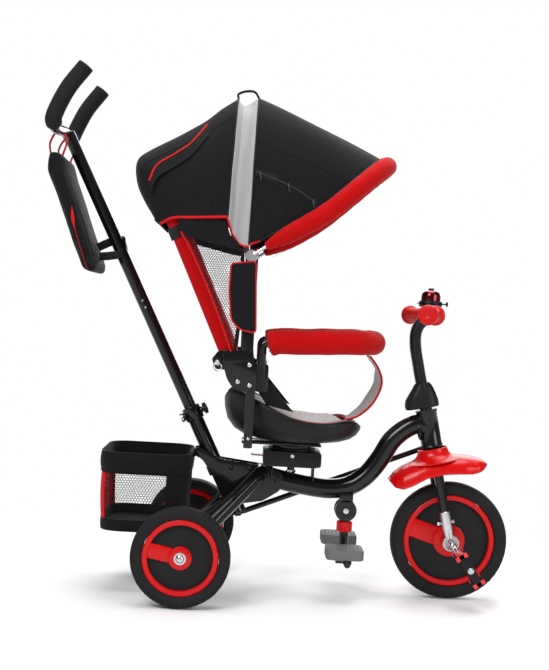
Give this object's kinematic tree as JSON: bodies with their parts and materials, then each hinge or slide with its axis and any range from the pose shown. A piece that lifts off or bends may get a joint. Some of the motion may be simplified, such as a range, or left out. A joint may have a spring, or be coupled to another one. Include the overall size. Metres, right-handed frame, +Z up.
{
  "type": "children tricycle",
  "caption": "Parent-push tricycle: pedal front wheel, steered push handle, swivelling padded seat with safety bar, folding canopy, footrest and basket",
  "frame": {"origin": "on the ground under the middle of the bounding box", "axes": "+X forward, +Y to the rider's left, +Z up"},
  "size_m": [1.0041, 0.495, 1.0736],
  "materials": {
    "frame_paint": "gloss black powder coat",
    "black_plastic": "fine-grained moulded black plastic",
    "red_plastic": "gloss red moulded plastic",
    "chrome": "chromed steel",
    "handle_foam": "soft black foam sleeve",
    "tyre_foam": "black foamed EVA with a moulded tread",
    "black_cloth": "black woven polyester",
    "red_cloth": "red knitted cover",
    "grey_cloth": "light grey quilted lining",
    "bell_metal": "dark red metallic lacquer"
  },
  "bodies": {
    "frame": {"main_frame": "frame_paint", "rear_fork": "frame_paint", "rear_axle": "chrome", "rear_channel": "frame_paint", "seat_bracket": "frame_paint", "swivel_base": "black_plastic", "basket": "black_cloth", "footrest_bracket": "frame_paint"},
    "fork": {"fork": "frame_paint", "fork_tip_right": "chrome", "fork_tip_left": "chrome", "fender": "red_plastic", "stem": "black_plastic", "stem_cover": "black_plastic", "handlebar": "frame_paint", "grip_right": "red_plastic", "grip_left": "red_plastic", "bell_base": "black_plastic", "bell_dome": "bell_metal"},
    "front_wheel": {"front_tyre": "tyre_foam", "front_rim": "red_plastic", "crank": "chrome"},
    "pedal_right": {"pedal_right": "black_plastic"},
    "pedal_left": {"pedal_left": "black_plastic"},
    "rear_wheel_right": {"rear_tyre_right": "tyre_foam", "rear_rim_right": "red_plastic"},
    "rear_wheel_left": {"rear_tyre_left": "tyre_foam", "rear_rim_left": "red_plastic"},
    "column": {"steering_column": "frame_paint"},
    "clamp_knob": {"clamp_knob": "black_plastic"},
    "steering_link": {"steering_rod": "frame_paint"},
    "push_handle": {"push_rod": "frame_paint", "push_grip_right": "handle_foam", "push_grip_left": "handle_foam", "bag": "black_cloth"},
    "seat": {"seat_plate": "frame_paint", "seat_shell": "black_plastic", "seat_pad": "grey_cloth", "side_frame_right": "frame_paint", "side_frame_left": "frame_paint", "hinge_plate_right": "black_plastic", "hinge_plate_left": "black_plastic", "canopy_bow": "chrome", "canopy_rear": "black_cloth", "canopy_front": "black_cloth", "crotch_strap": "grey_cloth"},
    "backrest": {"back_frame": "frame_paint", "back_pad": "red_cloth"},
    "brim": {"brim_bow": "chrome", "brim_pad": "red_cloth"},
    "safety_bar": {"safety_bar": "frame_paint", "safety_bar_pad": "red_cloth"},
    "footrest": {"footrest_post": "frame_paint", "footrest_collar": "red_plastic", "foot_plate_right": "black_plastic", "foot_plate_left": "black_plastic"},
    "bell_lever": {"bell_lever": "black_plastic"},
    "swivel_lever": {"swivel_lever": "red_plastic"},
    "pull_pin_right": {"pull_pin_right": "chrome"},
    "pull_pin_left": {"pull_pin_left": "chrome"}
  },
  "joints": [
    {"name": "steer", "type": "hinge", "parent": "frame", "child": "fork", "pos_m": [0.374, 0, 0.125], "axis": [-0.2105, 0, 0.9776], "range_deg": [-35, 35]},
    {"name": "crank_turn", "type": "hinge", "parent": "fork", "child": "front_wheel", "pos_m": [0.377, 0, 0.125], "axis": [0, 1, 0], "continuous": true},
    {"name": "pedal_right_turn", "type": "hinge", "parent": "front_wheel", "child": "pedal_right", "pos_m": [0.40521, 0, 0.08617], "axis": [0, 1, 0], "continuous": true},
    {"name": "pedal_left_turn", "type": "hinge", "parent": "front_wheel", "child": "pedal_left", "pos_m": [0.34879, 0, 0.16383], "axis": [0, 1, 0], "continuous": true},
    {"name": "rear_wheel_right_turn", "type": "hinge", "parent": "frame", "child": "rear_wheel_right", "pos_m": [-0.182, -0.22, 0.1], "axis": [0, 1, 0], "continuous": true},
    {"name": "rear_wheel_left_turn", "type": "hinge", "parent": "frame", "child": "rear_wheel_left", "pos_m": [-0.182, 0.22, 0.1], "axis": [0, 1, 0], "continuous": true},
    {"name": "column_turn", "type": "hinge", "parent": "frame", "child": "column", "pos_m": [-0.181, 0, 0.366], "axis": [-0.454, 0, 0.891], "range_deg": [-35, 35]},
    {"name": "rod_swing", "type": "hinge", "parent": "fork", "child": "steering_link", "pos_m": [0.33212, 0.04, 0.31954], "axis": [-0.2113, 0.0238, 0.9771], "range_deg": [-35, 35]},
    {"name": "handle_slide", "type": "slide", "parent": "column", "child": "push_handle", "axis": [-0.454, 0, 0.891], "range_m": [-0.14, 0]},
    {"name": "clamp_turn", "type": "hinge", "parent": "column", "child": "clamp_knob", "pos_m": [-0.181, 0, 0.366], "axis": [0.891, 0, 0.454], "range_deg": [0, 270]},
    {"name": "seat_turn", "type": "hinge", "parent": "frame", "child": "seat", "pos_m": [0.033, 0, 0.3], "axis": [0, 0, 1], "continuous": true},
    {"name": "recline", "type": "hinge", "parent": "seat", "child": "backrest", "pos_m": [-0.089, 0, 0.446], "axis": [0, 1, 0], "range_deg": [0, 20]},
    {"name": "brim_fold", "type": "hinge", "parent": "seat", "child": "brim", "pos_m": [-0.075, 0, 0.701], "axis": [0, 1, 0], "range_deg": [-30, 0], "deforming": ["canopy_front"]},
    {"name": "safety_bar_lift", "type": "slide", "parent": "seat", "child": "safety_bar", "axis": [0, 0, 1], "range_m": [0, 0.08]},
    {"name": "footrest_fold", "type": "hinge", "parent": "frame", "child": "footrest", "pos_m": [0.154, 0, 0.178], "axis": [0, 1, 0], "range_deg": [0, 90]},
    {"name": "bell_ring", "type": "hinge", "parent": "fork", "child": "bell_lever", "pos_m": [0.33055, 0.038, 0.62721], "axis": [0, 0, 1], "range_deg": [0, 20], "stiffness_Nm_per_rad": 0.05},
    {"name": "swivel_release", "type": "hinge", "parent": "frame", "child": "swivel_lever", "pos_m": [-0.012, 0, 0.285], "axis": [0, 1, 0], "range_deg": [0, 12], "stiffness_Nm_per_rad": 0.5},
    {"name": "lock_pin_right_pull", "type": "slide", "parent": "backrest", "child": "pull_pin_right", "axis": [0, -1, 0], "range_m": [0, 0.008], "stiffness_N_per_m": 200},
    {"name": "lock_pin_left_pull", "type": "slide", "parent": "backrest", "child": "pull_pin_left", "axis": [0, 1, 0], "range_m": [0, 0.008], "stiffness_N_per_m": 200}
  ],
  "couplings": [
    {"joint": "column_turn", "follows": "steer", "ratio": 1},
    {"joint": "rod_swing", "follows": "steer", "ratio": -1}
  ]
}
